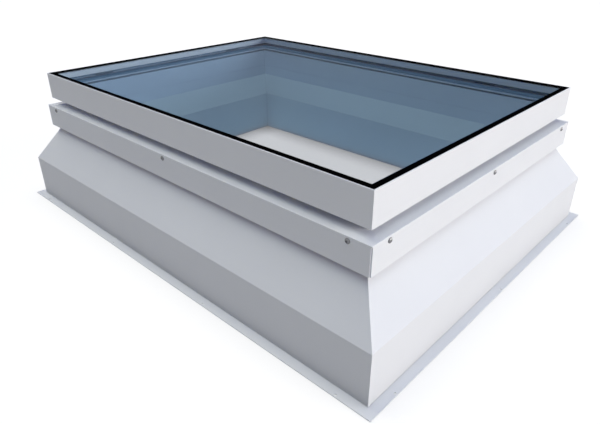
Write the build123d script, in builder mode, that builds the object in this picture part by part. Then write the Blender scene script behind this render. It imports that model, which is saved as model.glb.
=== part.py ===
# A flat roof skylight: an insulated kerb, a fixed frame on it, and a glazed sash
# that is hinged at the rear and pushed open by a rod opener inside the front wall.
# Millimetres. Origin under the middle of the kerb, +Z up, +X along the long sides,
# -Y is the front. Setbacks are counted inwards from the outer face of the sash,
# overhangs outwards from it.
import os

from build123d import *

os.makedirs("parts", exist_ok=True)

# Plan
sash_length = 1176.0
sash_width = 876.0
cut_overrun = 5.0
snug_gap = 0.1
running_gap = 0.05
edge_radius = 1.0

# Hidden shanks and the holes that they sit in have flats, which keeps the facets few
shank_side_count = 8

# Kerb: four mitred lengths of a hollow profile, each filled with a foam core
kerb_overhang = 60.0
kerb_thickness = 36.5
kerb_skin = 2.5
neck_setback = 22.5
flange_width = 22.0
flange_thickness = 2.0
kerb_foot_height = 122.5
kerb_slope_rise = 124.0
kerb_neck_height = 39.5
kerb_inner_foot_height = 144.0
kerb_inner_neck_height = 33.0
flange_hole_radius = 2.5
flange_hole_edge = 5.0
long_side_hole_shares = (-0.5, -1 / 6, 1 / 6, 0.5)
short_side_hole_shares = (-0.5, 0, 0.5)

# Bedding seal and battens between the kerb and the fixed frame
bedding_thickness = 3.0
batten_height = 26.0

# Fixed frame: four lengths of hollow section with a ledge, a skirt and an upstand
skirt_overhang = 12.0
skirt_height = 62.0
skirt_thickness = 2.4
ledge_thickness = 2.5
upstand_height = 51.5
upstand_width = 28.0
upstand_wall = 2.5
frame_cleat_arm = 70.0

# Skirt screws: three a side
screw_corner_distance = 51.0
screw_drop = 9.2
screw_head_radius = 5.5
screw_head_top_radius = 3.6
screw_head_height = 3.4
screw_shank_radius = 2.4
screw_length = 30.0

# Weather gasket on the upstand
gasket_width = 12.0
gasket_height = 5.0
gasket_bevel = 2.0
gasket_gap = 0.3

# Glass unit
pane_setback = 5.0
outer_pane_thickness = 6.0
inner_pane_thickness = 8.8
cavity_height = 16.0
pane_arris = 0.8
sealant_width = 6.0
spacer_width = 7.0
tape_thickness = 3.0
tape_setback = 28.0
tape_width = 24.0

# Sash: four lengths of hollow section with a glazing seat and a drip lip
sash_face_height = 72.8
sash_wall = 2.5
sash_box_width = 24.0
seat_thickness = 3.0
drip_inset = 17.0
drip_thickness = 2.0
drip_drop = 8.0
sash_cleat_arm = 60.0
seal_depth = 12.0
edge_block_length = 60.0
edge_block_height = 18.0
edge_block_shares = (-0.3, 0.3)

# Hinges at the rear
hinge_end_distance = 160.0
hinge_axis_overhang = 6.5
hinge_axis_rise = 14.5
knuckle_radius = 5.5
hinge_pin_radius = 3.0
frame_knuckle_length = 34.0
sash_knuckle_length = 24.0
knuckle_gap = 1.0
leaf_thickness = 3.0
frame_leaf_reach = 20.0
frame_leaf_web = 6.0
sash_leaf_height = 30.0
leaf_screw_head_radius = 4.0
leaf_screw_head_height = 2.2
leaf_screw_side_count = 6
frame_leaf_screw_spread = 18.0
frame_leaf_screw_setback = 12.0
sash_leaf_screw_spread = 48.0
sash_leaf_screw_share = 0.6

# Rod opener inside the front wall
opener_standoff = 18.0
trunnion_drop = 24.0
trunnion_radius = 4.0
rod_rest_length = 56.0
rod_radius = 5.0
rod_stroke = 210.0
rod_guide_length = 12.0
rod_guide_margin = 4.0
head_depth = 24.0
head_below = 12.0
head_above = 14.0
head_edge_bevel = 4.0
tube_radius = 13.0
tube_wall = 1.9
tube_floor = 6.0
motor_radius = 15.0
motor_length = 110.0
tube_motor_spacing = 31.0
head_side = 2.5
gland_radius = 6.0
gland_length = 12.0
gland_bore_radius = 3.0
gland_side_count = 6
ear_thickness = 3.0
ear_gap = 1.0
ear_radius = 8.0
ear_bevel = 4.5
bracket_thickness = 3.0
bracket_height = 44.0
bracket_screw_inset = 9.0
eye_radius = 8.0
eye_width = 10.0
eye_play = 1.4
eye_pin_radius = 3.0
eye_stem_radius = 7.0
eye_stem_length = 24.0
eye_flat_reach = 13.0
sash_bracket_width = 32.0
sash_bracket_flange = 12.0
sash_bracket_gap = 1.0
rivet_radius = 2.0

# Heights, from the roof up
kerb_top = kerb_foot_height + kerb_slope_rise + kerb_neck_height
frame_base = kerb_top + bedding_thickness
ledge_top = frame_base + ledge_thickness
upstand_top = ledge_top + upstand_height
seat_underside = upstand_top + gasket_height + gasket_gap
seat_top = seat_underside + seat_thickness
inner_pane_base = seat_top + tape_thickness
cavity_base = inner_pane_base + inner_pane_thickness
outer_pane_base = cavity_base + cavity_height
sash_top = outer_pane_base + outer_pane_thickness
sash_base = sash_top - sash_face_height

# Setbacks that several pieces share
daylight_setback = neck_setback + kerb_thickness
upstand_setback = daylight_setback - upstand_width
skirt_inside = skirt_overhang - skirt_thickness
seal_setback = sash_wall
spacer_setback = pane_setback + sealant_width
up = Vector(0, 0, 1)

# Each side: its name, the way it faces, how far out its sash face is, half its run
sides = (
    ("front", Vector(0, -1, 0), sash_width / 2, sash_length / 2),
    ("right", Vector(1, 0, 0), sash_length / 2, sash_width / 2),
    ("rear", Vector(0, 1, 0), sash_width / 2, sash_length / 2),
    ("left", Vector(-1, 0, 0), sash_length / 2, sash_width / 2),
)
corners = ((-1, -1), (1, -1), (1, 1), (-1, 1))


def section_plane(faces, reach):
    """Plane across a side: x runs outwards from the sash face, y runs up."""
    return Plane(origin=faces * reach, x_dir=faces, z_dir=faces.cross(up))


def trim_mitres(faces, reach, run):
    """Cut both ends of the length in hand at 45 degrees through the sash corners."""
    along = up.cross(faces)
    for end in (-1, 1):
        corner = faces * reach + along * (end * run)
        split(bisect_by=Plane(origin=corner, z_dir=along * end - faces), keep=Keep.BOTTOM)


def section(outline, rounded=()):
    """Closed face through the given points of the sketch in hand, with some of them rounded."""
    face = Polygon(*outline, align=None)
    if rounded:
        fillet([face.vertices().sort_by_distance(point)[0] for point in rounded], edge_radius)


def span(low, high):
    """Rectangle of the sketch in hand between two opposite corners."""
    with Locations(((low[0] + high[0]) / 2, (low[1] + high[1]) / 2)):
        Rectangle(high[0] - low[0], high[1] - low[1])


def ring(outer_setback, width):
    """Rectangular ring in plan, from one setback inwards."""
    Rectangle(sash_length - 2 * outer_setback, sash_width - 2 * outer_setback)
    inner_setback = outer_setback + width
    Rectangle(sash_length - 2 * inner_setback, sash_width - 2 * inner_setback, mode=Mode.SUBTRACT)


def drill(point, direction, radius, depth):
    """Round hole in the piece in hand, along a direction from a point."""
    with Locations(Plane(origin=point, z_dir=direction)):
        Cylinder(radius, depth, align=(Align.CENTER, Align.CENTER, Align.MIN), mode=Mode.SUBTRACT)


def save(piece, name):
    """Name the finished piece and write it."""
    piece.part.label = name
    export_step(piece.part, f"parts/{name}.step")


# Seats of the skirt screws: on each side one near each end and one in the middle
screw_height = ledge_top - screw_drop
skirt_seats = {}
for name, faces, reach, run in sides:
    last = run + skirt_overhang - screw_corner_distance
    skirt_seats[name] = []
    for place in (-last, 0, last):
        point = faces * (reach + skirt_overhang) + up.cross(faces) * place + up * screw_height
        skirt_seats[name].append(Plane(origin=point, z_dir=faces))
screw_hole_radius = screw_shank_radius + snug_gap

# Places of the hinges along the rear, and seats of the screws of their leaves
rear = Vector(0, 1, 0)
hinge_last = sash_length / 2 - hinge_end_distance
hinge_places = (-hinge_last, hinge_last)
hinge_axis_z = ledge_top + hinge_axis_rise
frame_leaf_top = ledge_top + leaf_thickness
sash_leaf_length = frame_knuckle_length + 2 * (knuckle_gap + sash_knuckle_length)
sash_leaf_screw_z = sash_base + sash_leaf_height * sash_leaf_screw_share
frame_leaf_seats = []
sash_leaf_seats = []
for place in hinge_places:
    for end in (-1, 1):
        frame_leaf_x = place + end * frame_leaf_screw_spread / 2
        frame_leaf_y = sash_width / 2 - frame_leaf_screw_setback
        frame_leaf_seats.append(Plane(origin=(frame_leaf_x, frame_leaf_y, frame_leaf_top), z_dir=up))
        sash_leaf_x = place + end * sash_leaf_screw_spread / 2
        sash_leaf_y = sash_width / 2 + leaf_thickness
        sash_leaf_seats.append(Plane(origin=(sash_leaf_x, sash_leaf_y, sash_leaf_screw_z), z_dir=rear))

# Opener: its spindle stands at x = 0, the motor beside it, in front of the daylight face
daylight_y = -(sash_width / 2 - daylight_setback)
opener_y = daylight_y + opener_standoff
trunnion_z = kerb_top - trunnion_drop
eye_z = trunnion_z + rod_rest_length
head_left = -(tube_radius + head_side)
head_right = tube_motor_spacing + motor_radius + head_side
head_base = trunnion_z - head_below
tube_length = rod_stroke + rod_guide_length + 2 * rod_guide_margin
tube_base = head_base - tube_length
bracket_left = head_left - ear_gap - ear_thickness
bracket_right = head_right + ear_gap + ear_thickness
bracket_base = trunnion_z - ear_radius
bracket_seats = []
for x in (head_left + bracket_screw_inset, head_right - bracket_screw_inset):
    for z in (kerb_top - bracket_screw_inset, ledge_top + upstand_wall):
        bracket_seats.append(Plane(origin=(x, daylight_y + bracket_thickness, z), z_dir=rear))
rivet_seats = []
for x in (-sash_bracket_width / 4, sash_bracket_width / 4):
    rivet_seats.append(Plane(origin=(x, daylight_y - sash_bracket_flange / 2, seat_top), z_dir=up))
rivet_length = seat_thickness + bracket_thickness / 2

# Kerb sides: a hollow profile with a flange, and the foam core that fills it
inner_neck_base = kerb_top - kerb_inner_neck_height
kerb_edge = (kerb_overhang, kerb_foot_height)
kerb_outline = (
    (kerb_overhang, 0),
    kerb_edge,
    (-neck_setback, kerb_foot_height + kerb_slope_rise),
    (-neck_setback, kerb_top),
    (-daylight_setback, kerb_top),
    (-daylight_setback, inner_neck_base),
    (kerb_overhang - kerb_thickness, kerb_inner_foot_height),
    (kerb_overhang - kerb_thickness, 0),
)
for name, faces, reach, run in sides:
    length = run + kerb_overhang + flange_width + cut_overrun
    hole_line = reach + kerb_overhang + flange_width - flange_hole_edge
    with BuildPart() as kerb_core:
        with BuildSketch(section_plane(faces, reach)):
            section(kerb_outline)
            offset(amount=-kerb_skin, mode=Mode.REPLACE)
        extrude(amount=length, both=True)
        trim_mitres(faces, reach, run)
    save(kerb_core, f"kerb_core_{name}")
    with BuildPart() as kerb_side:
        with BuildSketch(section_plane(faces, reach)):
            section(kerb_outline, rounded=(kerb_edge,))
            span((kerb_overhang, 0), (kerb_overhang + flange_width, flange_thickness))
        extrude(amount=length, both=True)
        trim_mitres(faces, reach, run)
        add(kerb_core.part, mode=Mode.SUBTRACT)
        for share in long_side_hole_shares if faces.X == 0 else short_side_hole_shares:
            hole = faces * hole_line + up.cross(faces) * (2 * run * share)
            drill(hole, up, flange_hole_radius, flange_thickness + cut_overrun)
    save(kerb_side, f"kerb_{name}")

# Battens behind the skirt, which the skirt screws bite into
for name, faces, reach, run in sides:
    with BuildPart() as batten:
        with BuildSketch(section_plane(faces, reach)):
            span((-neck_setback, frame_base - batten_height), (skirt_inside, frame_base))
        extrude(amount=run + skirt_overhang + cut_overrun, both=True)
        trim_mitres(faces, reach, run)
        with BuildSketch(*skirt_seats[name]):
            RegularPolygon(screw_hole_radius, shank_side_count)
        extrude(amount=-screw_length, mode=Mode.SUBTRACT)
    save(batten, f"batten_{name}")

# Bedding seal on top of the kerb
with BuildPart() as bedding_seal:
    with BuildSketch(Plane.XY.offset(kerb_top)):
        ring(neck_setback, kerb_thickness)
    extrude(amount=bedding_thickness)
save(bedding_seal, "bedding_seal")

# Fixed frame sides
frame_outline = (
    (skirt_overhang, ledge_top - skirt_height),
    (skirt_overhang, ledge_top),
    (-upstand_setback, ledge_top),
    (-upstand_setback, upstand_top),
    (-daylight_setback, upstand_top),
    (-daylight_setback, frame_base),
    (skirt_inside, frame_base),
    (skirt_inside, ledge_top - skirt_height),
)
for name, faces, reach, run in sides:
    along = up.cross(faces)
    with BuildPart() as frame_side:
        with BuildSketch(section_plane(faces, reach)):
            section(frame_outline, rounded=((skirt_overhang, ledge_top),))
        extrude(amount=run + skirt_overhang + cut_overrun, both=True)
        with BuildSketch(section_plane(faces, reach)):
            span(
                (upstand_wall - daylight_setback, ledge_top),
                (-upstand_setback - upstand_wall, upstand_top - upstand_wall),
            )
        extrude(amount=run + skirt_overhang + cut_overrun, both=True, mode=Mode.SUBTRACT)
        trim_mitres(faces, reach, run)
        for end in (-1, 1):
            tip = faces * (reach + skirt_overhang) + along * (end * (run + skirt_overhang))
            with BuildSketch(Plane(origin=tip + up * frame_base, x_dir=faces, z_dir=up * -1)):
                Rectangle(2 * skirt_thickness, 2 * skirt_thickness)
            extrude(amount=skirt_height, mode=Mode.SUBTRACT)
        with BuildSketch(*skirt_seats[name]):
            RegularPolygon(screw_hole_radius, shank_side_count)
        extrude(amount=-skirt_thickness, mode=Mode.SUBTRACT)
    save(frame_side, f"frame_{name}")


def corner_cleats(outer_setback, inner_setback, arm):
    """Four L shapes in plan that fill a hollow section round its corners."""
    for x_sign, y_sign in corners:
        outer_x = x_sign * (sash_length / 2 - outer_setback)
        outer_y = y_sign * (sash_width / 2 - outer_setback)
        inner_x = x_sign * (sash_length / 2 - inner_setback)
        inner_y = y_sign * (sash_width / 2 - inner_setback)
        section((
            (outer_x, outer_y), (outer_x, inner_y - y_sign * arm), (inner_x, inner_y - y_sign * arm),
            (inner_x, inner_y), (inner_x - x_sign * arm, inner_y), (inner_x - x_sign * arm, outer_y),
        ))


# Cleats inside the corners of the fixed frame
with BuildPart() as frame_cleats:
    with BuildSketch(Plane.XY.offset(ledge_top)):
        corner_cleats(
            upstand_setback + upstand_wall + snug_gap,
            daylight_setback - upstand_wall - snug_gap, frame_cleat_arm,
        )
    extrude(amount=upstand_height - upstand_wall - snug_gap)
save(frame_cleats, "frame_cleats")

# Weather gasket round the top of the upstand
with BuildPart() as weather_gasket:
    with BuildSketch(Plane.XY.offset(upstand_top)):
        ring(upstand_setback + upstand_wall, gasket_width)
    extrude(amount=gasket_height)
    chamfer(weather_gasket.edges().group_by(Axis.Z)[-1], gasket_bevel)
save(weather_gasket, "weather_gasket")

# Sash sides
sash_outline = (
    (0, sash_base),
    (0, sash_top),
    (-sash_wall, sash_top),
    (-sash_wall, seat_top),
    (-daylight_setback, seat_top),
    (-daylight_setback, seat_underside),
    (-sash_box_width, seat_underside),
    (-sash_box_width, sash_base),
    (-drip_inset - drip_thickness, sash_base),
    (-drip_inset - drip_thickness, sash_base - drip_drop),
    (-drip_inset, sash_base - drip_drop),
    (-drip_inset, sash_base),
)
for name, faces, reach, run in sides:
    with BuildPart() as sash_side:
        with BuildSketch(section_plane(faces, reach)):
            section(sash_outline, rounded=((0, sash_base), (0, sash_top)))
        extrude(amount=run + cut_overrun, both=True)
        with BuildSketch(section_plane(faces, reach)):
            span((sash_wall - sash_box_width, sash_base + sash_wall), (-sash_wall, seat_underside))
        extrude(amount=run + cut_overrun, both=True, mode=Mode.SUBTRACT)
        trim_mitres(faces, reach, run)
        if name == "front":
            with BuildSketch(*rivet_seats):
                RegularPolygon(rivet_radius + snug_gap, shank_side_count)
            extrude(amount=-seat_thickness, mode=Mode.SUBTRACT)
    save(sash_side, f"sash_{name}")

# Cleats inside the corners of the sash
with BuildPart() as sash_cleats:
    with BuildSketch(Plane.XY.offset(sash_base + sash_wall)):
        corner_cleats(sash_wall + snug_gap, sash_box_width - sash_wall - snug_gap, sash_cleat_arm)
    extrude(amount=seat_underside - sash_base - sash_wall - snug_gap)
save(sash_cleats, "sash_cleats")

# Glazing tape on the seat of the sash
with BuildPart() as glazing_tape:
    with BuildSketch(Plane.XY.offset(seat_top)):
        ring(tape_setback, tape_width)
    extrude(amount=tape_thickness)
save(glazing_tape, "glazing_tape")

# Panes of the glass unit
for name, base, thickness in (
    ("inner_pane", inner_pane_base, inner_pane_thickness),
    ("outer_pane", outer_pane_base, outer_pane_thickness),
):
    with BuildPart() as pane:
        with BuildSketch(Plane.XY.offset(base)):
            Rectangle(sash_length - 2 * pane_setback, sash_width - 2 * pane_setback)
        extrude(amount=thickness)
        chamfer(pane.edges().filter_by(Axis.Z), pane_arris)
    save(pane, name)

# Spacer bar and edge sealant between the panes
for name, setback, width in (
    ("edge_sealant", pane_setback, sealant_width),
    ("spacer_bar", spacer_setback, spacer_width),
):
    with BuildPart() as unit_edge:
        with BuildSketch(Plane.XY.offset(cavity_base)):
            ring(setback, width)
        extrude(amount=cavity_height)
    save(unit_edge, name)

# Blocks that centre the glass unit in the sash
with BuildPart() as edge_blocks:
    with BuildSketch(Plane.XY.offset(seat_top)):
        for name, faces, reach, run in sides:
            for share in edge_block_shares:
                middle = faces * (reach - (seal_setback + pane_setback) / 2)
                middle += up.cross(faces) * (2 * run * share)
                depth = pane_setback - seal_setback
                with Locations((middle.X, middle.Y)):
                    Rectangle(
                        edge_block_length if faces.X == 0 else depth,
                        depth if faces.X == 0 else edge_block_length,
                    )
    extrude(amount=edge_block_height)
save(edge_blocks, "edge_blocks")

# Black seal between the sash and the edge of the glass unit
with BuildPart() as perimeter_seal:
    with BuildSketch(Plane.XY.offset(sash_top)):
        ring(seal_setback, pane_setback - seal_setback)
    extrude(amount=-seal_depth)
save(perimeter_seal, "perimeter_seal")


def hinge_section(place):
    """Section plane of the rear at a place along it: x outwards from the sash face, y up."""
    return Plane(origin=(place, sash_width / 2, 0), x_dir=rear, z_dir=rear.cross(up))


# Hinge leaves on the fixed frame: a foot on the ledge with its screw heads, a web and
# the middle knuckle
with BuildPart() as hinge_frame_leaves:
    for place in hinge_places:
        with BuildSketch(hinge_section(place)):
            span((-frame_leaf_reach, ledge_top), (hinge_axis_overhang + knuckle_radius, frame_leaf_top))
            span(
                (hinge_axis_overhang - frame_leaf_web / 2, ledge_top),
                (hinge_axis_overhang + frame_leaf_web / 2, hinge_axis_z),
            )
            with Locations((hinge_axis_overhang, hinge_axis_z)):
                Circle(knuckle_radius)
                Circle(hinge_pin_radius + running_gap, mode=Mode.SUBTRACT)
        extrude(amount=frame_knuckle_length / 2, both=True)
    with BuildSketch(*frame_leaf_seats):
        RegularPolygon(leaf_screw_head_radius, leaf_screw_side_count)
    extrude(amount=leaf_screw_head_height)
save(hinge_frame_leaves, "hinge_frame_leaves")

# Hinge leaves on the sash: a plate on its rear face with its screw heads and the two
# outer knuckles, and the pin that is pressed into them
knuckle_middle = (frame_knuckle_length + sash_knuckle_length) / 2 + knuckle_gap
with BuildPart() as hinge_sash_leaves:
    for place in hinge_places:
        with BuildSketch(hinge_section(place)):
            span((0, sash_base), (leaf_thickness, sash_base + sash_leaf_height))
        extrude(amount=sash_leaf_length / 2, both=True)
        with BuildSketch(hinge_section(place)):
            with Locations((hinge_axis_overhang, hinge_axis_z)):
                Circle(hinge_pin_radius)
        extrude(amount=frame_knuckle_length / 2 + knuckle_gap, both=True)
        for end in (-1, 1):
            with BuildSketch(hinge_section(place + end * knuckle_middle)):
                span((0, hinge_axis_z), (hinge_axis_overhang, sash_base + leaf_thickness))
                with Locations((hinge_axis_overhang, hinge_axis_z)):
                    Circle(knuckle_radius)
            extrude(amount=sash_knuckle_length / 2, both=True)
    with BuildSketch(*sash_leaf_seats):
        RegularPolygon(leaf_screw_head_radius, leaf_screw_side_count)
    extrude(amount=leaf_screw_head_height)
save(hinge_sash_leaves, "hinge_sash_leaves")


def bevelled_ear(back, pivot, height):
    """Ear from a plate at its back to beyond a pivot, with its two free corners bevelled."""
    low = height - ear_radius
    high = height + ear_radius
    tip = pivot + ear_radius
    section((
        (back, low), (tip - ear_bevel, low), (tip, low + ear_bevel),
        (tip, high - ear_bevel), (tip - ear_bevel, high), (back, high),
    ))


# Opener bracket on the daylight face: a back plate with its screw heads and two ears
# for the trunnions
with BuildPart() as opener_bracket:
    with BuildSketch(Plane(origin=(0, daylight_y, 0), x_dir=(1, 0, 0), z_dir=(0, -1, 0))):
        span((bracket_left, bracket_base), (bracket_right, bracket_base + bracket_height))
    extrude(amount=-bracket_thickness)
    for ear in (bracket_left, bracket_right - ear_thickness):
        with BuildSketch(Plane.YZ.offset(ear)):
            bevelled_ear(daylight_y, opener_y, trunnion_z)
            with Locations((opener_y, trunnion_z)):
                Circle(trunnion_radius + running_gap, mode=Mode.SUBTRACT)
        extrude(amount=ear_thickness)
    with BuildSketch(*bracket_seats):
        RegularPolygon(leaf_screw_head_radius, leaf_screw_side_count)
    extrude(amount=leaf_screw_head_height)
save(opener_bracket, "opener_bracket")

# Skirt screws: a bevelled pan head turned about its axis, and a shank into the batten
with BuildPart() as skirt_screws:
    for seats in skirt_seats.values():
        with BuildSketch(*seats):
            RegularPolygon(screw_shank_radius, shank_side_count)
        extrude(amount=-screw_length)
        for seat in seats:
            with BuildSketch(Plane(seat.origin, x_dir=seat.x_dir, z_dir=seat.x_dir.cross(seat.z_dir))):
                section((
                    (0, 0), (screw_head_radius, 0),
                    (screw_head_top_radius, screw_head_height), (0, screw_head_height),
                ))
            revolve(axis=Axis(seat.origin, seat.z_dir))
save(skirt_screws, "skirt_screws")

# Opener head: gear case with the two trunnions and the guide bore of the rod
with BuildPart() as opener_head:
    with BuildSketch(Plane.XY.offset(head_base)):
        span((head_left, opener_y - head_depth / 2), (head_right, opener_y + head_depth / 2))
    extrude(amount=head_below + head_above)
    chamfer(opener_head.edges().filter_by(Axis.Z), head_edge_bevel)
    with BuildSketch(Plane.YZ.offset(bracket_left)):
        with Locations((opener_y, trunnion_z)):
            Circle(trunnion_radius)
    extrude(amount=bracket_right - bracket_left)
    drill((0, opener_y, head_base), up, rod_radius + running_gap, head_below + head_above)
save(opener_head, "opener_head")

# Opener tube, which the rod slides in, closed at its lower end
with BuildPart() as opener_tube:
    with BuildSketch(Plane(origin=(0, opener_y, head_base))):
        Circle(tube_radius)
    extrude(amount=-tube_length - tube_floor)
    with BuildSketch(Plane(origin=(0, opener_y, head_base))):
        Circle(tube_radius - tube_wall)
    extrude(amount=-tube_length, mode=Mode.SUBTRACT)
save(opener_tube, "opener_tube")

# Opener motor beside the tube, with its cable gland
with BuildPart() as opener_motor:
    with BuildSketch(Plane(origin=(tube_motor_spacing, opener_y, head_base))):
        Circle(motor_radius)
    extrude(amount=-motor_length)
save(opener_motor, "opener_motor")
with BuildPart() as cable_gland:
    with BuildSketch(Plane(origin=(tube_motor_spacing, opener_y, head_base - motor_length))):
        RegularPolygon(gland_radius, gland_side_count)
        Circle(gland_bore_radius, mode=Mode.SUBTRACT)
    extrude(amount=-gland_length)
save(cable_gland, "cable_gland")

# Push rod: a guide collar in the tube below, and above a stem that is flattened to an
# eye with play round the pin of the sash bracket
guide_base = tube_base + rod_guide_margin
with BuildPart() as push_rod:
    with BuildSketch(Plane(origin=(0, opener_y, guide_base))):
        Circle(tube_radius - tube_wall - running_gap)
    extrude(amount=rod_guide_length)
    with BuildSketch(Plane(origin=(0, opener_y, eye_z - eye_stem_length))):
        Circle(eye_stem_radius)
    extrude(amount=eye_stem_length)
    with BuildSketch(Plane(origin=(-eye_stem_radius, opener_y, eye_z), z_dir=(1, 0, 0))):
        Circle(eye_radius)
    extrude(amount=2 * eye_stem_radius)
    for face in (-1, 1):
        with BuildSketch(Plane(origin=(face * eye_width / 2, opener_y, eye_z), z_dir=(face, 0, 0))):
            Rectangle(2 * eye_flat_reach, 2 * eye_flat_reach)
        extrude(amount=eye_stem_radius, mode=Mode.SUBTRACT)
    with BuildSketch(Plane(origin=(0, opener_y, guide_base))):
        Circle(rod_radius)
    extrude(amount=eye_z - eye_stem_length - guide_base)
    drill((-eye_width / 2, opener_y, eye_z), (1, 0, 0), eye_pin_radius + eye_play, eye_width)
save(push_rod, "push_rod")

# Bracket on the sash: a flange under the glazing seat, a leg and two ears for the eye pin
leg_y = daylight_y + sash_bracket_gap
leg_base = eye_z - ear_radius
ear_inside = eye_width / 2 + ear_gap
with BuildPart() as sash_bracket:
    with BuildSketch(Plane.YZ):
        span((leg_y, leg_base), (leg_y + bracket_thickness, seat_underside))
        span(
            (daylight_y - sash_bracket_flange, seat_underside - bracket_thickness / 2),
            (leg_y, seat_underside),
        )
    extrude(amount=sash_bracket_width / 2, both=True)
    for ear in (-ear_inside - ear_thickness, ear_inside):
        with BuildSketch(Plane.YZ.offset(ear)):
            bevelled_ear(leg_y, opener_y, eye_z)
            with Locations((opener_y, eye_z)):
                Circle(eye_pin_radius + running_gap, mode=Mode.SUBTRACT)
        extrude(amount=ear_thickness)
    with BuildSketch(*rivet_seats):
        RegularPolygon(rivet_radius + snug_gap, shank_side_count)
    extrude(amount=-rivet_length, mode=Mode.SUBTRACT)
save(sash_bracket, "sash_bracket")

# Pin of the rod eye, and the rivets of the sash bracket
ear_outside = ear_inside + ear_thickness
with BuildPart() as eye_pin:
    with BuildSketch(Plane(origin=(-ear_outside, opener_y, eye_z), z_dir=(1, 0, 0))):
        Circle(eye_pin_radius)
    extrude(amount=2 * ear_outside)
save(eye_pin, "eye_pin")
with BuildPart() as bracket_rivets:
    with BuildSketch(*rivet_seats):
        RegularPolygon(rivet_radius, shank_side_count)
    extrude(amount=-rivet_length)
save(bracket_rivets, "bracket_rivets")
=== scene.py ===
import math

import bpy
import numpy as np
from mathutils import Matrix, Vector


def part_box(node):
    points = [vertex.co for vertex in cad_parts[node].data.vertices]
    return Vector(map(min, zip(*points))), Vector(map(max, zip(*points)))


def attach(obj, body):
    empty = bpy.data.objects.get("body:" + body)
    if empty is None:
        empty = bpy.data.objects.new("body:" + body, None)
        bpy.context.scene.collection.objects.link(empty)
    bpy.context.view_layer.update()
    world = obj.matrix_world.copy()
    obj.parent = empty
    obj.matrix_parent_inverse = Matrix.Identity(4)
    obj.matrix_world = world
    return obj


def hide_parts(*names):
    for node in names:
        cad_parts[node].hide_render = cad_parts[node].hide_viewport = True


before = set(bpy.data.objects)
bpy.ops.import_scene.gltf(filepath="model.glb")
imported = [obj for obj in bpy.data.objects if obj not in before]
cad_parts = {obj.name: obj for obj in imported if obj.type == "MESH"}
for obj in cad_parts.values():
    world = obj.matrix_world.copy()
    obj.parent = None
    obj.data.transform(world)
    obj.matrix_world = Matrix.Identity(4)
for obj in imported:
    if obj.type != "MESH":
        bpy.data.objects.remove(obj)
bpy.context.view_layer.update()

# Kerb: four mitred lengths of a hollow resin profile with a foot flange, bonded at the
# corners and moulded in white, with a rigid foam core inside each length.
# The skin is smooth with a faint orange peel and a slightly cloudy tone.
sides = ("front", "right", "rear", "left")
kerb_white = (0.86, 0.868, 0.885, 1)
kerb_flange_top = 0.004
# Painted shade: the flange's colour for bounced light only, nearly black
kerb_flange_painted_dark_bounce = (0.05, 0.05, 0.05, 1)
core_cream = (0.80, 0.79, 0.74, 1)
core_seam = (0.62, 0.61, 0.56, 1)
core_bead_scale = 260.0
core_bead_depth = 0.0006
core_roughness = 0.9


def feed(tree, source, socket):
    """Gives a socket its value, from a number or colour or from another node's socket."""
    if isinstance(source, bpy.types.NodeSocket):
        tree.links.new(source, socket)
    else:
        socket.default_value = source


def start_group(name, inputs, outputs):
    """An empty node group with named sockets; returns it with its input and output nodes."""
    group = bpy.data.node_groups.new(name, "ShaderNodeTree")
    for label, kind, value in inputs:
        socket = group.interface.new_socket(label, in_out="INPUT", socket_type="NodeSocket" + kind)
        socket.default_value = value
    for label, kind in outputs:
        group.interface.new_socket(label, in_out="OUTPUT", socket_type="NodeSocket" + kind)
    return group, group.nodes.new("NodeGroupInput"), group.nodes.new("NodeGroupOutput")


def object_place(tree):
    """The place on the object, which the textures are laid out on."""
    return tree.nodes.new("ShaderNodeTexCoord").outputs["Object"]


def add_noise(tree, coordinates, scale, detail):
    """A noise texture on the given coordinates."""
    noise = tree.nodes.new("ShaderNodeTexNoise")
    feed(tree, coordinates, noise.inputs["Vector"])
    feed(tree, scale, noise.inputs["Scale"])
    feed(tree, detail, noise.inputs["Detail"])
    return noise


def add_range(tree, value, low, high, source_low=0.3, source_high=0.7):
    """Carries a value from one range to another."""
    carry = tree.nodes.new("ShaderNodeMapRange")
    feed(tree, value, carry.inputs["Value"])
    feed(tree, source_low, carry.inputs["From Min"])
    feed(tree, source_high, carry.inputs["From Max"])
    feed(tree, low, carry.inputs["To Min"])
    feed(tree, high, carry.inputs["To Max"])
    return carry.outputs["Result"]


def add_scaled(tree, colour, factor):
    """A colour times a value."""
    scaled = tree.nodes.new("ShaderNodeVectorMath")
    scaled.operation = "SCALE"
    feed(tree, colour, scaled.inputs[0])
    feed(tree, factor, scaled.inputs["Scale"])
    return scaled.outputs["Vector"]


def add_math(tree, operation, *values):
    """One operation on one or two values."""
    math_node = tree.nodes.new("ShaderNodeMath")
    math_node.operation = operation
    for place, value in enumerate(values):
        feed(tree, value, math_node.inputs[place])
    return math_node.outputs["Value"]


def height_of(tree, vector):
    """The upright part of a vector."""
    parts = tree.nodes.new("ShaderNodeSeparateXYZ")
    feed(tree, vector, parts.inputs["Vector"])
    return parts.outputs["Z"]


def mix_colours(tree, which, first, second):
    """First colour where which is zero, second where it is one."""
    mixed = tree.nodes.new("ShaderNodeMix")
    mixed.data_type = "RGBA"
    feed(tree, which, mixed.inputs["Factor"])
    feed(tree, first, mixed.inputs["A"])
    feed(tree, second, mixed.inputs["B"])
    return mixed.outputs["Result"]


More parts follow.
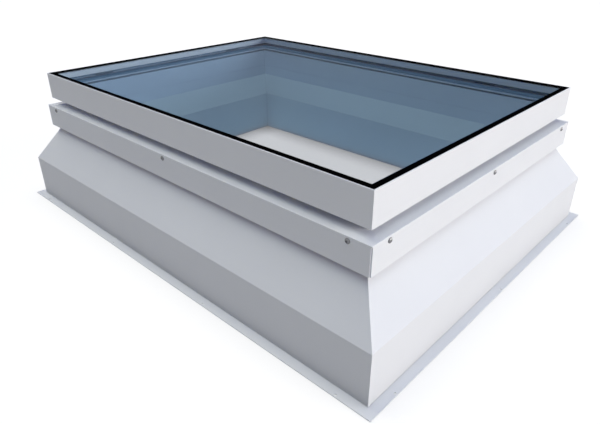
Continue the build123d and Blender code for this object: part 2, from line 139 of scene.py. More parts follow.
# Coated surface: soft clouds in the tone, fine peel in the height, patches in the gloss
coat_group, coat_in, coat_out = start_group(
    "coated_surface",
    (("Colour", "Color", (1, 1, 1, 1)), ("Darkest", "Float", 0.97), ("Peel Scale", "Float", 500.0),
     ("Least Rough", "Float", 0.35), ("Most Rough", "Float", 0.5)),
    (("Colour", "Color"), ("Roughness", "Float"), ("Height", "Float")),
)
coat_place = object_place(coat_group)
coat_clouds = add_noise(coat_group, coat_place, scale=5.0, detail=3.0).outputs["Fac"]
coat_patches = add_noise(coat_group, coat_place, scale=34.0, detail=4.0).outputs["Fac"]
coat_peel = add_noise(coat_group, coat_place, scale=coat_in.outputs["Peel Scale"], detail=1.0)
coat_tone = add_range(coat_group, coat_clouds, coat_in.outputs["Darkest"], 1.0)
coat_gloss = add_range(
    coat_group, coat_patches, coat_in.outputs["Least Rough"], coat_in.outputs["Most Rough"]
)
coat_colour = add_scaled(coat_group, coat_in.outputs["Colour"], coat_tone)
feed(coat_group, coat_colour, coat_out.inputs["Colour"])
feed(coat_group, coat_gloss, coat_out.inputs["Roughness"])
feed(coat_group, coat_peel.outputs["Fac"], coat_out.inputs["Height"])


def start_finish(name):
    """A new material; returns it with its node tree and its Principled shader."""
    finish = bpy.data.materials.new(name)
    finish.use_nodes = True
    return finish, finish.node_tree, finish.node_tree.nodes["Principled BSDF"]


def add_relief(tree, shader, height, distance):
    """Turns a height that changes over the surface into the shader's normal."""
    relief = tree.nodes.new("ShaderNodeBump")
    feed(tree, 1.0, relief.inputs["Strength"])
    feed(tree, distance, relief.inputs["Distance"])
    feed(tree, height, relief.inputs["Height"])
    feed(tree, relief.outputs["Normal"], shader.inputs["Normal"])


def place_group(tree, shader, group, values):
    """Places a node group, sets its values and feeds colour and roughness to the shader."""
    placed = tree.nodes.new("ShaderNodeGroup")
    placed.node_tree = group
    for label, value in values.items():
        feed(tree, value, placed.inputs[label])
    feed(tree, placed.outputs["Colour"], shader.inputs["Base Color"])
    feed(tree, placed.outputs["Roughness"], shader.inputs["Roughness"])
    return placed


def coated_finish(name, colour, darkest, peel_scale, peel_height, roughness, shine=0.3):
    """A coated or moulded finish from the coated surface group; a matt one has little shine."""
    finish, tree, shader = start_finish(name)
    placed = place_group(tree, shader, coat_group, {
        "Colour": colour, "Darkest": darkest, "Peel Scale": peel_scale,
        "Least Rough": roughness[0], "Most Rough": roughness[1],
    })
    feed(tree, shine, shader.inputs["Specular IOR Level"])
    add_relief(tree, shader, placed.outputs["Height"], peel_height)
    return finish


def dress(finish, *names):
    """Gives CAD nodes their finish."""
    for name in names:
        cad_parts[name].material_slots[0].material = finish


# For bounced light the flange is painted nearly black, not its own white: it throws little light
# back, so that the foot of the wall gets a painted contact shade
kerb_finish = coated_finish(
    "kerb_resin", kerb_white, darkest=0.975, peel_scale=420.0, peel_height=0.00003,
    roughness=(0.42, 0.56), shine=0.02,
)
kerb_tree = kerb_finish.node_tree
kerb_base = kerb_tree.nodes["Principled BSDF"].inputs["Base Color"]
# Painted shade: below kerb_flange_top the flange turns nearly black to bounced light, which darkens
# the foot of the wall
kerb_path = kerb_tree.nodes.new("ShaderNodeLightPath")
kerb_flange = add_math(
    kerb_tree, "LESS_THAN", height_of(kerb_tree, object_place(kerb_tree)), kerb_flange_top
)
kerb_painted_dark_bounce_mask = add_math(kerb_tree, "MULTIPLY", kerb_flange, kerb_path.outputs["Is Diffuse Ray"])
kerb_tone_with_painted_dark_bounce = mix_colours(
    kerb_tree, kerb_painted_dark_bounce_mask, kerb_base.links[0].from_socket, kerb_flange_painted_dark_bounce
)
feed(kerb_tree, kerb_tone_with_painted_dark_bounce, kerb_base)
dress(kerb_finish, *["kerb_" + side for side in sides])

core_finish, core_tree, core_shader = start_finish("kerb_core_foam")
core_beads = core_tree.nodes.new("ShaderNodeTexVoronoi")
feed(core_tree, core_bead_scale, core_beads.inputs["Scale"])
feed(core_tree, object_place(core_tree), core_beads.inputs["Vector"])
core_shade = core_tree.nodes.new("ShaderNodeValToRGB")
core_shade.color_ramp.elements[0].color = core_cream
core_shade.color_ramp.elements[1].color = core_seam
feed(core_tree, core_beads.outputs["Distance"], core_shade.inputs["Fac"])
feed(core_tree, core_shade.outputs["Color"], core_shader.inputs["Base Color"])
feed(core_tree, core_roughness, core_shader.inputs["Roughness"])
add_relief(core_tree, core_shader, core_beads.outputs["Distance"], core_bead_depth)
dress(core_finish, *["kerb_core_" + side for side in sides])

# Battens: planed softwood strips behind the skirt, glued round the neck of the kerb, which
# the skirt screws bite into. The grain runs along each strip.
batten_early = (0.66, 0.50, 0.31, 1)
batten_late = (0.42, 0.27, 0.14, 1)
batten_early_until = 0.38
batten_late_from = 0.62
batten_waviness = 0.6
batten_relief = 0.0004
for batten_name, batten_grain, batten_sides in (
    ("batten_wood_long", (3.0, 60.0, 60.0), ("front", "rear")),
    ("batten_wood_short", (60.0, 3.0, 60.0), ("right", "left")),
):
    batten_finish, batten_tree, batten_shader = start_finish(batten_name)
    batten_place = batten_tree.nodes.new("ShaderNodeMapping")
    feed(batten_tree, batten_grain, batten_place.inputs["Scale"])
    feed(batten_tree, object_place(batten_tree), batten_place.inputs["Vector"])
    batten_noise = add_noise(batten_tree, batten_place.outputs["Vector"], scale=2.2, detail=5.0)
    feed(batten_tree, batten_waviness, batten_noise.inputs["Distortion"])
    batten_rings = batten_noise.outputs["Fac"]
    batten_shade = batten_tree.nodes.new("ShaderNodeValToRGB")
    batten_shade.color_ramp.elements[0].position = batten_early_until
    batten_shade.color_ramp.elements[0].color = batten_early
    batten_shade.color_ramp.elements[1].position = batten_late_from
    batten_shade.color_ramp.elements[1].color = batten_late
    feed(batten_tree, batten_rings, batten_shade.inputs["Fac"])
    feed(batten_tree, batten_shade.outputs["Color"], batten_shader.inputs["Base Color"])
    batten_rough = add_range(batten_tree, batten_rings, low=0.55, high=0.75)
    feed(batten_tree, batten_rough, batten_shader.inputs["Roughness"])
    add_relief(batten_tree, batten_shader, batten_rings, batten_relief)
    dress(batten_finish, *["batten_" + side for side in batten_sides])

# Bedding seal and glazing tape: strips of closed cell foam with a sticky back, a pale one on
# top of the kerb under the fixed frame, a grey blue one on the seat of the sash under the glass.
foam_cell_scale = 900.0
foam_cell_depth = 0.0003
foam_roughness = 0.85


def foam_finish(name, colour, dark):
    """Closed cell foam: small cells in the height, a mottled tone."""
    finish, tree, shader = start_finish(name)
    place = object_place(tree)
    cells = tree.nodes.new("ShaderNodeTexVoronoi")
    feed(tree, foam_cell_scale, cells.inputs["Scale"])
    feed(tree, place, cells.inputs["Vector"])
    shade = tree.nodes.new("ShaderNodeValToRGB")
    shade.color_ramp.elements[0].color = dark
    shade.color_ramp.elements[1].color = colour
    mottle = add_noise(tree, place, scale=120.0, detail=4.0)
    feed(tree, mottle.outputs["Fac"], shade.inputs["Fac"])
    feed(tree, shade.outputs["Color"], shader.inputs["Base Color"])
    feed(tree, foam_roughness, shader.inputs["Roughness"])
    add_relief(tree, shader, cells.outputs["Distance"], foam_cell_depth)
    return finish


bedding_finish = foam_finish(
    "bedding_foam", colour=(0.80, 0.81, 0.83, 1), dark=(0.72, 0.73, 0.75, 1)
)
dress(bedding_finish, "bedding_seal")
tape_finish = foam_finish(
    "glazing_foam", colour=(0.36, 0.48, 0.53, 1), dark=(0.30, 0.41, 0.46, 1)
)
dress(tape_finish, "glazing_tape")

# Fixed frame: four mitred lengths of white powder coated aluminium with a ledge, a skirt
# over the battens and a hollow upstand; the skirt ends leave a small open corner.
frame_white = (0.86, 0.868, 0.885, 1)
frame_finish = coated_finish(
    "frame_powder_coat", frame_white, darkest=0.975, peel_scale=700.0, peel_height=0.00004,
    roughness=(0.42, 0.56), shine=0.02,
)
dress(frame_finish, *["frame_" + side for side in sides])

# Cleats: L shaped aluminium castings pushed into the hollow sections to hold the corners
# of the fixed frame and of the sash. Bare metal with a fine grain.
cleat_tone = (0.60, 0.61, 0.62, 1)

# Bare metal: lines drawn along one direction, in tone, gloss and height
metal_group, metal_in, metal_out = start_group(
    "drawn_metal",
    (("Colour", "Color", (1, 1, 1, 1)), ("Darkest", "Float", 0.85),
     ("Stretch", "Vector", (1, 1, 1)),
     ("Least Rough", "Float", 0.25), ("Most Rough", "Float", 0.4)),
    (("Colour", "Color"), ("Roughness", "Float"), ("Height", "Float")),
)
metal_place = metal_group.nodes.new("ShaderNodeVectorMath")
metal_place.operation = "MULTIPLY"
feed(metal_group, object_place(metal_group), metal_place.inputs[0])
feed(metal_group, metal_in.outputs["Stretch"], metal_place.inputs[1])
metal_noise = add_noise(metal_group, metal_place.outputs["Vector"], scale=1.0, detail=3.0)
metal_lines = metal_noise.outputs["Fac"]
metal_tone = add_range(metal_group, metal_lines, metal_in.outputs["Darkest"], 1.0)
metal_gloss = add_range(
    metal_group, metal_lines, metal_in.outputs["Least Rough"], metal_in.outputs["Most Rough"]
)
metal_colour = add_scaled(metal_group, metal_in.outputs["Colour"], metal_tone)
feed(metal_group, metal_colour, metal_out.inputs["Colour"])
feed(metal_group, metal_gloss, metal_out.inputs["Roughness"])
feed(metal_group, metal_lines, metal_out.inputs["Height"])


def metal_finish(name, colour, darkest, stretch, roughness, line_height):
    """Bare metal from the drawn metal group."""
    finish, tree, shader = start_finish(name)
    placed = place_group(tree, shader, metal_group, {
        "Colour": colour, "Darkest": darkest, "Stretch": stretch,
        "Least Rough": roughness[0], "Most Rough": roughness[1],
    })
    feed(tree, 1.0, shader.inputs["Metallic"])
    add_relief(tree, shader, placed.outputs["Height"], line_height)
    return finish


cleat_finish = metal_finish(
    "cleat_cast", cleat_tone, darkest=0.8, stretch=(300, 300, 300), roughness=(0.4, 0.6),
    line_height=0.0001,
)
dress(cleat_finish, "frame_cleats", "sash_cleats")

# Skirt screws: twelve stainless pan head screws with a six lobed recess, driven through the
# skirt into the battens. The threaded shank is hidden.
screw_steel = (0.22, 0.225, 0.24, 1)
screw_head_radius = 0.0055
screw_head_height = 0.0034
screw_rim_height = 0.0011
screw_recess_radius = 0.0021
screw_recess_lobes = 6
screw_recess_lobe = 0.00035
screw_recess_depth = 0.0016
screw_recess_narrowing = 0.85
screw_crest_radius = 0.0024
screw_root_radius = 0.0019
screw_length = 0.030
screw_pitch = 0.0018
screw_point_steepness = 6
screw_point_least = 0.05
screw_corner_distance = 0.051
screws_per_side = 3
screw_columns = 36
screw_dome_rows = 9
screw_thread_rows = 52


def grid_quads(rows, columns, wrap_rows=False):
    """Quads of a grid of points numbered row by row; columns close on themselves, rows if asked."""
    row = np.arange(rows if wrap_rows else rows - 1)[:, None]
    column = np.arange(columns)[None, :]
    next_row, next_column = (row + 1) % rows, (column + 1) % columns
    corners = (row * columns + column, row * columns + next_column,
               next_row * columns + next_column, next_row * columns + column)
    return np.stack(np.broadcast_arrays(*corners), -1).reshape(-1, 4)


def turned_screw():
    """Points and faces of one screw along +Z with its seat at zero. Two parameters: the row
    down the outline and the angle. The recess wall follows a circle with a cosine of six
    lobes, the dome a circle arc, and the thread a triangle wave of height over pitch less
    angle over a full turn."""
    angle = np.linspace(0, 2 * np.pi, screw_columns, endpoint=False)[None, :]
    lobes = screw_recess_radius + screw_recess_lobe * np.cos(screw_recess_lobes * angle)
    dome_height = screw_head_height - screw_rim_height
    dome_radius = (screw_head_radius ** 2 + dome_height ** 2) / (2 * dome_height)

    def dome(radius):
        return screw_head_height - dome_radius + np.sqrt(dome_radius ** 2 - radius ** 2)

    share = np.linspace(0, 1, screw_dome_rows)[:, None]
    dome_r = lobes + (screw_head_radius - lobes) * share
    depth = np.linspace(0, 1, screw_thread_rows)[:, None]
    turn = np.mod(depth * screw_length / screw_pitch - angle / (2 * np.pi), 1)
    thread_height = screw_crest_radius - screw_root_radius
    thread = screw_root_radius + thread_height * (1 - np.abs(2 * turn - 1))
    taper = np.clip((1 - depth) * screw_point_steepness, screw_point_least, 1)
    recess_z = dome(screw_recess_radius) - screw_recess_depth
    rings_r = (screw_recess_narrowing * lobes, dome_r,
               np.full_like(angle, screw_head_radius), thread * taper)
    rings_z = (np.full_like(angle, recess_z), dome(dome_r), np.zeros_like(angle),
               np.broadcast_to(-depth * screw_length, thread.shape))
    radius, height = np.concatenate(rings_r), np.concatenate(rings_z)
    points = np.stack([radius * np.cos(angle), radius * np.sin(angle), height], -1).reshape(-1, 3)
    rows, last = len(radius), len(points)
    points = np.vstack([points, [0, 0, recess_z], [0, 0, -screw_length]])
    start = np.arange(screw_columns)
    turn_on = (start + 1) % screw_columns
    end = start + (rows - 1) * screw_columns
    end_on = turn_on + (rows - 1) * screw_columns
    floor_of_recess = np.stack([np.full_like(start, last), start, turn_on], -1)
    tip = np.stack([np.full_like(start, last + 1), end_on, end], -1)
    return points, grid_quads(rows, screw_columns)[:, ::-1], np.vstack([floor_of_recess, tip])


def signed_volume(points, quads, triangles):
    """Volume inside a closed mesh, by fans from the origin; negative if it is inside out."""
    fans = np.vstack([quads[:, [0, 1, 2]], quads[:, [0, 2, 3]], triangles])
    a, b, c = points[fans[:, 0]], points[fans[:, 1]], points[fans[:, 2]]
    return float(np.einsum("ij,ij->i", a, np.cross(b, c)).sum()) / 6


def add_piece(name, points, quads, triangles, finish, body, slot, crease_degrees=35.0):
    """A new piece from arrays of points and faces, faces outwards, riding on a body."""
    if signed_volume(points, quads, triangles) < 0:
        quads, triangles = quads[:, ::-1], triangles[:, ::-1]
    mesh = bpy.data.meshes.new(name)
    mesh.from_pydata(points, [], quads.tolist() + triangles.tolist())
    mesh.shade_smooth()
    mesh.set_sharp_from_angle(angle=math.radians(crease_degrees))
    mesh.materials.append(finish)
    piece = bpy.data.objects.new(name, mesh)
    bpy.context.scene.collection.objects.link(piece)
    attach(piece, body)
    return piece


def copies(points, quads, triangles, spots, axes):
    """Copies of one shape; each has a spot and the axes that its x, y and z turn to."""
    turned = np.einsum("pi,kij->kpj", points, axes) + spots[:, None]
    first = len(points) * np.arange(len(spots))[:, None, None]
    return (turned.reshape(-1, 3), (quads + first).reshape(-1, 4),
            (triangles + first).reshape(-1, 3))


screw_finish = metal_finish(
    "screw_stainless", screw_steel, darkest=0.7, stretch=(900, 900, 900), roughness=(0.28, 0.42),
    line_height=0.00003,
)
skirt_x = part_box("frame_right")[1].x
skirt_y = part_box("frame_rear")[1].y
screw_low, screw_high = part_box("skirt_screws")
screw_z = (screw_low.z + screw_high.z) / 2
along = np.linspace(-1, 1, screws_per_side)
along_x = along * (skirt_x - screw_corner_distance)
along_y = along * (skirt_y - screw_corner_distance)
ones = np.ones(screws_per_side)
screw_spots = np.vstack([
    np.stack([along_x, -skirt_y * ones, screw_z * ones], -1),
    np.stack([along_x, skirt_y * ones, screw_z * ones], -1),
    np.stack([skirt_x * ones, along_y, screw_z * ones], -1),
    np.stack([-skirt_x * ones, along_y, screw_z * ones], -1),
])
screw_axes = np.repeat(np.array([
    ((1, 0, 0), (0, 0, 1), (0, -1, 0)), ((-1, 0, 0), (0, 0, 1), (0, 1, 0)),
    ((0, 1, 0), (0, 0, 1), (1, 0, 0)), ((0, -1, 0), (0, 0, 1), (-1, 0, 0)),
], float), screws_per_side, axis=0)
screws = add_piece("turned_skirt_screws", *copies(*turned_screw(), screw_spots, screw_axes),
                   screw_finish, "base", "screw_steel")
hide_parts("skirt_screws")

# Weather gasket: an extruded grey rubber strip with a flat foot and a bulb, welded at
# the corners and bonded on top of the upstand. The closed sash presses on the bulb.
gasket_grey = (0.50, 0.60, 0.66, 1)
gasket_width = 0.012
gasket_foot_height = 0.0014
gasket_edge_share = 0.6
gasket_bulb_share = 0.56
gasket_bulb_fullness = 0.7
gasket_columns = 40


def carry_round(outline, half_x, half_y):
    """A closed outline of setbacks and heights carried round a rectangle, mitred at its four
    corners: each point lies at the corner less its setback, at its own height."""
    setback, height = outline[:, :1], outline[:, 1:]
    sign_x, sign_y = np.array([[-1, 1, 1, -1]]), np.array([[-1, -1, 1, 1]])
    points = np.stack([sign_x * (half_x - setback), sign_y * (half_y - setback),
                       np.broadcast_to(height, (len(outline), 4))], -1)
    no_triangles = np.zeros((0, 3), int)
    return points.reshape(-1, 3), grid_quads(len(outline), 4, wrap_rows=True), no_triangles


def gasket_section(low, high):
    """Setbacks and heights of the gasket: a flat foot with low edges, and over it a bulb whose
    setback follows the cosine and whose height a power of the sine of half a turn."""
    angle = np.linspace(0, np.pi, gasket_columns)
    bulb_half = gasket_width * gasket_bulb_share / 2
    bulb_setback = gasket_width / 2 - bulb_half * np.cos(angle)
    bulb_height = (high - low - gasket_foot_height) * np.sin(angle) ** gasket_bulb_fullness
    edge = low + gasket_foot_height * gasket_edge_share
    return np.vstack([
        [(0, low), (0, edge)],
        np.stack([bulb_setback, low + gasket_foot_height + bulb_height], -1),
        [(gasket_width, edge), (gasket_width, low)],
    ])


def soft_finish(name, colour, roughness, darkest=0.7):
    """Rubber, sealant or enamel: a faint bloom in the tone and patches in the gloss."""
    finish, tree, shader = start_finish(name)
    place_group(tree, shader, coat_group, {
        "Colour": colour, "Darkest": darkest,
        "Least Rough": roughness[0], "Most Rough": roughness[1],
    })
    return finish


gasket_finish = soft_finish("gasket_rubber", gasket_grey, roughness=(0.5, 0.7))
gasket_low, gasket_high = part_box("weather_gasket")
gasket_outline = gasket_section(gasket_low.z, gasket_high.z)
gasket = add_piece("weather_bulb_gasket",
                   *carry_round(gasket_outline, gasket_high.x, gasket_high.y),
                   gasket_finish, "base", "gasket_rubber")
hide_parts("weather_gasket")

# Sash: four mitred lengths of white powder coated aluminium with a glazing seat inside and
# a drip lip below, held at the corners by the cleats.
sash_white = (0.86, 0.866, 0.88, 1)
sash_finish = coated_finish(
    "sash_powder_coat", sash_white, darkest=0.98, peel_scale=700.0, peel_height=0.00004,
    roughness=(0.42, 0.56), shine=0.02,
)
dress(sash_finish, *["sash_" + side for side in sides])

# Setting blocks: grey plastic packers, pushed into the gap between the sash and the edge of
# the glass unit, which they centre.
block_grey = (0.42, 0.45, 0.48, 1)
block_finish = coated_finish(
    "block_plastic", block_grey, darkest=0.8, peel_scale=300.0, peel_height=0.0001,
    roughness=(0.5, 0.65),
)
dress(block_finish, "edge_blocks")

# Glass unit: two clear panes with a blue grey tint, darker at their edges, and a black enamel
# border on the upper face of the outer one. Light passes on through them into the well below.
pane_tint = (0.757, 0.769, 0.79, 1)
rim_tint = (0.25, 0.36, 0.44, 1)
pane_ior = 1.012
pane_passes_on = (0.722, 0.798, 0.873, 1)
enamel_black = (0.0012, 0.0012, 0.0014, 1)
enamel_ior = 1.01
enamel_width = 0.012
enamel_thickness = 0.0001


def mix_shaders(tree, which, first, second):
    """First shader where which is zero, second where it is one."""
    mixed = tree.nodes.new("ShaderNodeMixShader")
    feed(tree, which, mixed.inputs["Fac"])
    feed(tree, first, mixed.inputs[1])
    feed(tree, second, mixed.inputs[2])
    return mixed.outputs["Shader"]


glass_finish, glass_tree, glass_shader = start_finish("tinted_glass")
feed(glass_tree, 0.0, glass_shader.inputs["Roughness"])
feed(glass_tree, pane_ior, glass_shader.inputs["IOR"])
feed(glass_tree, 1.0, glass_shader.inputs["Transmission Weight"])
glass_noise = add_noise(glass_tree, object_place(glass_tree), scale=3.0, detail=3.0)
glass_film = add_range(glass_tree, glass_noise.outputs["Fac"], low=0.985, high=1.0)
glass_colour = glass_tree.nodes.new("ShaderNodeRGB")
glass_colour.outputs[0].default_value = pane_tint
glass_normal = glass_tree.nodes.new("ShaderNodeNewGeometry").outputs["True Normal"]
glass_flat = add_math(glass_tree, "ABSOLUTE", height_of(glass_tree, glass_normal))
glass_face = add_scaled(glass_tree, glass_colour.outputs[0], glass_film)
glass_tone = mix_colours(glass_tree, glass_flat, rim_tint, glass_face)
feed(glass_tree, glass_tone, glass_shader.inputs["Base Color"])
glass_passing = glass_tree.nodes.new("ShaderNodeBsdfTransparent")
feed(glass_tree, pane_passes_on, glass_passing.inputs["Color"])
glass_path = glass_tree.nodes.new("ShaderNodeLightPath")
glass_which = add_math(
    glass_tree, "MAXIMUM", glass_path.outputs["Is Shadow Ray"], glass_path.outputs["Is Diffuse Ray"]
)
glass_surface = mix_shaders(
    glass_tree, glass_which, glass_shader.outputs["BSDF"], glass_passing.outputs["BSDF"]
)
feed(glass_tree, glass_surface, glass_tree.nodes["Material Output"].inputs["Surface"])
dress(glass_finish, "inner_pane", "outer_pane")

# The border is a flat rectangle in section, carried round the edge of the pane
enamel_finish = soft_finish("border_enamel", enamel_black, roughness=(0.7, 0.85))
enamel_finish.node_tree.nodes["Principled BSDF"].inputs["IOR"].default_value = enamel_ior
pane_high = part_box("outer_pane")[1]
enamel_top = pane_high.z + enamel_thickness
enamel_outline = np.array([
    (0, pane_high.z), (0, enamel_top), (enamel_width, enamel_top), (enamel_width, pane_high.z),
])
add_piece("enamel_border", *carry_round(enamel_outline, pane_high.x, pane_high.y),
          enamel_finish, "sash", "seal_black")

# Spacer bar and edge sealant: a bent channel with a dull pale coat that keeps the panes
# apart, and the black sealant behind it that holds the unit together.
spacer_grey = (0.80, 0.81, 0.80, 1)
sealant_black = (0.012, 0.012, 0.014, 1)
spacer_finish = coated_finish(
    "spacer_dull", spacer_grey, darkest=0.95, peel_scale=900.0, peel_height=0.00002,
    roughness=(0.5, 0.65), shine=0.05,
)
dress(spacer_finish, "spacer_bar")
sealant_finish = soft_finish("unit_sealant", sealant_black, roughness=(0.45, 0.6))
dress(sealant_finish, "edge_sealant")

# Perimeter seal: a black silicone joint between the sash lip and the glass, filled from a
# gun and tooled to a shallow hollow.
seal_black = (0.0015, 0.0015, 0.0017, 1)
seal_ior = 1.05
seal_sink = 0.0006
seal_columns = 9


def seal_section(low, high, width):
    """Setbacks and heights of the joint: upright sides and a top that sinks by a parabola,
    four times the sink times the share across times the share left."""
    share = np.linspace(0, 1, seal_columns)
    top = high - seal_sink * 4 * share * (1 - share)
    return np.vstack([[(0, low)], np.stack([share * width, top], -1), [(width, low)]])


seal_low, seal_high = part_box("perimeter_seal")
seal_outline = seal_section(seal_low.z, seal_high.z, seal_high.x - pane_high.x)
seal_finish = soft_finish("silicone_black", seal_black, roughness=(0.5, 0.65))
seal_finish.node_tree.nodes["Principled BSDF"].inputs["IOR"].default_value = seal_ior
seal = add_piece("tooled_perimeter_seal", *carry_round(seal_outline, seal_high.x, seal_high.y),
                 seal_finish, "sash", "seal_black")
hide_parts("perimeter_seal")

# Hinges: two stainless butt hinges at the rear, one leaf on the ledge of the fixed frame,
# the other on the rear face of the sash, with hexagon head screws.
hinge_steel = (0.64, 0.65, 0.66, 1)
hinge_finish = metal_finish(
    "hinge_stainless", hinge_steel, darkest=0.82, stretch=(30, 600, 600), roughness=(0.24, 0.4),
    line_height=0.00004,
)
dress(hinge_finish, "hinge_frame_leaves", "hinge_sash_leaves")

# Opener bracket and sash bracket: bent stainless plates, one screwed to the inside of the
# kerb and frame, the other riveted under the glazing seat; each holds a pivot.
rivet_grey = (0.6, 0.61, 0.63, 1)
dress(hinge_finish, "opener_bracket", "sash_bracket")
rivet_finish = metal_finish(
    "rivet_aluminium", rivet_grey, darkest=0.85, stretch=(700, 700, 700), roughness=(0.3, 0.45),
    line_height=0.00003,
)
dress(rivet_finish, "bracket_rivets")

# Opener: a light grey moulded gear case on trunnions, a motor in a plastic can beside an
# anodised tube, and a ground steel rod that slides out of the tube to the sash.
opener_grey = (0.66, 0.67, 0.69, 1)
gland_black = (0.045, 0.045, 0.05, 1)
tube_silver = (0.68, 0.69, 0.71, 1)
rod_steel = (0.68, 0.69, 0.70, 1)
opener_finish = coated_finish(
    "opener_moulding", opener_grey, darkest=0.93, peel_scale=500.0, peel_height=0.00008,
    roughness=(0.4, 0.55),
)
dress(opener_finish, "opener_head", "opener_motor")
gland_finish = coated_finish(
    "gland_plastic", gland_black, darkest=0.85, peel_scale=400.0, peel_height=0.00008,
    roughness=(0.4, 0.55),
)
dress(gland_finish, "cable_gland")
tube_finish = metal_finish(
    "opener_tube_anodised", tube_silver, darkest=0.9, stretch=(500, 500, 12),
    roughness=(0.3, 0.42), line_height=0.00002,
)
dress(tube_finish, "opener_tube")
rod_finish = metal_finish(
    "rod_ground", rod_steel, darkest=0.88, stretch=(300, 300, 900), roughness=(0.15, 0.28),
    line_height=0.00001,
)
dress(rod_finish, "push_rod", "eye_pin")

# Floor: a plain white studio floor under the kerb, white to the camera and through the
# glass, with the object's shadow and contact shade kept. It lights the part softly from
# below, also the faces that stand on it; its underside lets the camera through.
floor_half = 20.0
floor_drop = 0.0002
floor_albedo = 0.30
floor_lift = 0.82
floor_bounce = 0.33
floor_touch = 0.001
floor_touch_light = 0.45
floor_nook_reach = 0.1
floor_nook_outside = 0.7
floor_nook_well = 0.12
floor_mesh = bpy.data.meshes.new("floor")
floor_mesh.from_pydata(
    [(-floor_half, -floor_half, -floor_drop), (floor_half, -floor_half, -floor_drop),
     (floor_half, floor_half, -floor_drop), (-floor_half, floor_half, -floor_drop)],
    [], [(0, 1, 2, 3)],
)
floor = bpy.data.objects.new("floor", floor_mesh)
bpy.context.scene.collection.objects.link(floor)
floor_finish = bpy.data.materials.new("studio_floor")
floor_finish.use_nodes = True
floor_mesh.materials.append(floor_finish)
floor_tree = floor_finish.node_tree
floor_tree.nodes.remove(floor_tree.nodes["Principled BSDF"])
floor_path = floor_tree.nodes.new("ShaderNodeLightPath")
floor_side = floor_tree.nodes.new("ShaderNodeNewGeometry")
floor_nook = floor_tree.nodes.new("ShaderNodeAmbientOcclusion")
feed(floor_tree, floor_nook_reach, floor_nook.inputs["Distance"])


def floor_light(strength, nook_tone=1.0):
    """Light given off by the floor, down to a share of nook_tone where walls stand close."""
    light = floor_tree.nodes.new("ShaderNodeEmission")
    feed(floor_tree, strength, light.inputs["Strength"])
    if nook_tone < 1.0:
        shade = add_range(floor_tree, floor_nook.outputs["AO"], nook_tone, 1.0, 0.0, 1.0)
        feed(floor_tree, shade, light.inputs["Color"])
    return light.outputs["Emission"]


floor_matt = floor_tree.nodes.new("ShaderNodeBsdfDiffuse")
feed(floor_tree, (floor_albedo, floor_albedo, floor_albedo, 1), floor_matt.inputs["Color"])
floor_seen = floor_tree.nodes.new("ShaderNodeAddShader")
feed(floor_tree, floor_matt.outputs["BSDF"], floor_seen.inputs[0])
feed(floor_tree, floor_light(floor_lift, floor_nook_outside), floor_seen.inputs[1])
floor_clear = floor_tree.nodes.new("ShaderNodeBsdfTransparent")
floor_close = add_math(floor_tree, "LESS_THAN", floor_path.outputs["Ray Length"], floor_touch)
floor_shader = mix_shaders(
    floor_tree, floor_close, floor_light(floor_bounce), floor_light(floor_touch_light)
)
floor_shader = mix_shaders(
    floor_tree, floor_path.outputs["Is Camera Ray"], floor_shader, floor_seen.outputs["Shader"]
)
floor_white = floor_light(1.0, floor_nook_well)
for ray in ("Is Glossy Ray", "Is Transmission Ray"):
    floor_shader = mix_shaders(floor_tree, floor_path.outputs[ray], floor_shader, floor_white)
floor_shader = mix_shaders(
    floor_tree, floor_side.outputs["Backfacing"], floor_shader, floor_clear.outputs["BSDF"]
)
feed(floor_tree, floor_shader, floor_tree.nodes["Material Output"].inputs["Surface"])

# Light: soft keys from the right, weak fills from the front and above, a cool sky that
# reaches into the gaps, and the light of the room under the well; the backdrop is white
# to the camera and in reflections, where the tinted fills don't show.
sky_colour = (0.06, 0.16, 1.0, 1)
sky_strength = 0.23
lamp_spread = 30
room_length = 1.2
room_depth = 0.9
room_height = 0.003
room_brightness = 0.30
room_tint = (0.05, 0.62, 1.0)
world = bpy.data.worlds.new("studio")
bpy.context.scene.world = world
world.use_nodes = True
sky_tree = world.node_tree
sky_light = sky_tree.nodes["Background"]
feed(sky_tree, sky_colour, sky_light.inputs["Color"])
feed(sky_tree, sky_strength, sky_light.inputs["Strength"])
sky_white = sky_tree.nodes.new("ShaderNodeBackground")
feed(sky_tree, (1, 1, 1, 1), sky_white.inputs["Color"])
feed(sky_tree, 1.0, sky_white.inputs["Strength"])
sky_path = sky_tree.nodes.new("ShaderNodeLightPath")
sky_shader = sky_light.outputs["Background"]
for ray in ("Is Camera Ray", "Is Glossy Ray", "Is Transmission Ray"):
    sky_shader = mix_shaders(
        sky_tree, sky_path.outputs[ray], sky_shader, sky_white.outputs["Background"]
    )
feed(sky_tree, sky_shader, sky_tree.nodes["World Output"].inputs["Surface"])


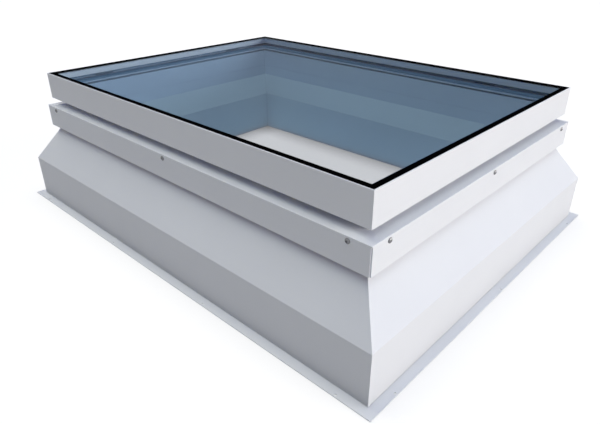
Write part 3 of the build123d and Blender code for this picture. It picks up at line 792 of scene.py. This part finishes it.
def add_lamp(name, azimuth, elevation, strength, colour, mirrored):
    """A soft distant lamp; azimuth is counted from +X towards +Y. A mirrored one also shows
    in reflections."""
    lamp = bpy.data.lights.new(name, "SUN")
    lamp.energy = strength
    lamp.color = colour
    lamp.angle = math.radians(lamp_spread)
    holder = bpy.data.objects.new(name, lamp)
    holder.rotation_euler = (math.radians(90 - elevation), 0, math.radians(azimuth + 90))
    holder.visible_glossy = mirrored
    bpy.context.scene.collection.objects.link(holder)


for lamp_values in (
    ("key_right", 20, 4, 1.83, (1.0, 0.895, 0.78), True),
    ("key_right_rear", 40, 10, 1.55, (0.98, 1.0, 0.92), True),
    ("rear_fill", 60, 10, 0.20, (0.3, 0.75, 1.0), False),
    ("front_fill", -120, 3, 0.42, (1.0, 0.88, 0.05), False),
    ("front_left", -150, 8, 0.13, (0.2, 0.3, 1.0), False),
    ("front_top", -60, 60, 0.88, (0.934, 1.0, 0.85), True),
    ("top_left", 180, 60, 1.11, (1.0, 0.97, 0.78), True),
):
    add_lamp(*lamp_values)

room_lamp = bpy.data.lights.new("room_below", "AREA")
room_lamp.shape = "RECTANGLE"
room_lamp.size = room_length
room_lamp.size_y = room_depth
room_lamp.energy = math.pi * room_length * room_depth * room_brightness
room_lamp.color = room_tint
room_holder = bpy.data.objects.new("room_below", room_lamp)
room_holder.location = (0, 0, room_height)
room_holder.rotation_euler = (math.pi, 0, 0)
room_holder.visible_camera = False
room_holder.visible_glossy = False
room_holder.visible_transmission = False
bpy.context.scene.collection.objects.link(room_holder)

# Camera: at the viewing angle of the photograph, with the place, turn and lens that were
# fitted to the straight edges of the object in it.
camera_spot = (1.01577, -1.06481, 0.73888)
camera_lens = 31.6208
camera_sensor = 36.0
camera_looks_down = 27.5985
camera_turn = 43.1916
camera_data = bpy.data.cameras.new("camera")
camera_data.sensor_width = camera_sensor
camera_data.lens = camera_lens
camera = bpy.data.objects.new("camera", camera_data)
camera.location = camera_spot
camera.rotation_euler = (math.radians(90 - camera_looks_down), 0, math.radians(camera_turn))
bpy.context.scene.collection.objects.link(camera)
bpy.context.scene.camera = camera
bpy.context.scene.view_settings.view_transform = "Standard"
